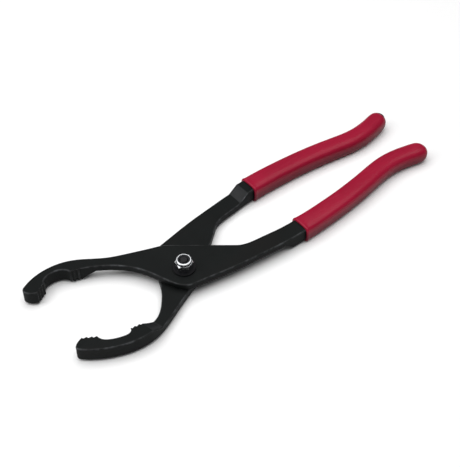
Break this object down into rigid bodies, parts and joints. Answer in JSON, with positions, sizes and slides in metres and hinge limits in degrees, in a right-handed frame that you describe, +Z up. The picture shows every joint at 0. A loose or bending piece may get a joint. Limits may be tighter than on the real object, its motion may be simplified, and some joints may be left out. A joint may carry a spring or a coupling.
{
  "type": "oil filter wrench",
  "caption": "Oil filter pliers with two crossed forged levers, hooked toothed jaws, a sliding pivot with a slot, a lock nut and dipped vinyl handle grips",
  "frame": {"origin": "on the pivot axis, at the lower face of the bolt's head, level with the lowest face of both grips", "axes": "+X from the jaws towards the handles along the tool, +Z up through the bolt to the nut, +Y across the tool towards the slotted lever's handle"},
  "size_m": [0.3139, 0.0885, 0.0206],
  "materials": {
    "blackened_steel": "black oxide over forged steel, satin",
    "red_vinyl": "dipped vinyl, satin",
    "bolt_steel": "dark zinc, machined",
    "washer_steel": "black oxide, satin",
    "zinc_plate": "bright zinc plate",
    "nylon": "moulded nylon, dull"
  },
  "bodies": {
    "slotted_half": {"slotted_lever": "blackened_steel", "slotted_lever_grip": "red_vinyl"},
    "pivot": {"pivot_bolt": "bolt_steel", "nut_washer": "washer_steel", "lock_nut": "zinc_plate", "lock_nut_insert": "nylon"},
    "pivot_half": {"pivot_lever": "blackened_steel", "pivot_lever_grip": "red_vinyl"}
  },
  "joints": [
    {"name": "seat_shift", "type": "slide", "parent": "slotted_half", "child": "pivot", "axis": [0.18, 0.9837, 0], "range_m": [0, 0.01555]},
    {"name": "jaw_pivot", "type": "hinge", "parent": "pivot", "child": "pivot_half", "pos_m": [0, 0, 0.0095], "axis": [0, 0, -1], "range_deg": [-1.2, 35]}
  ]
}
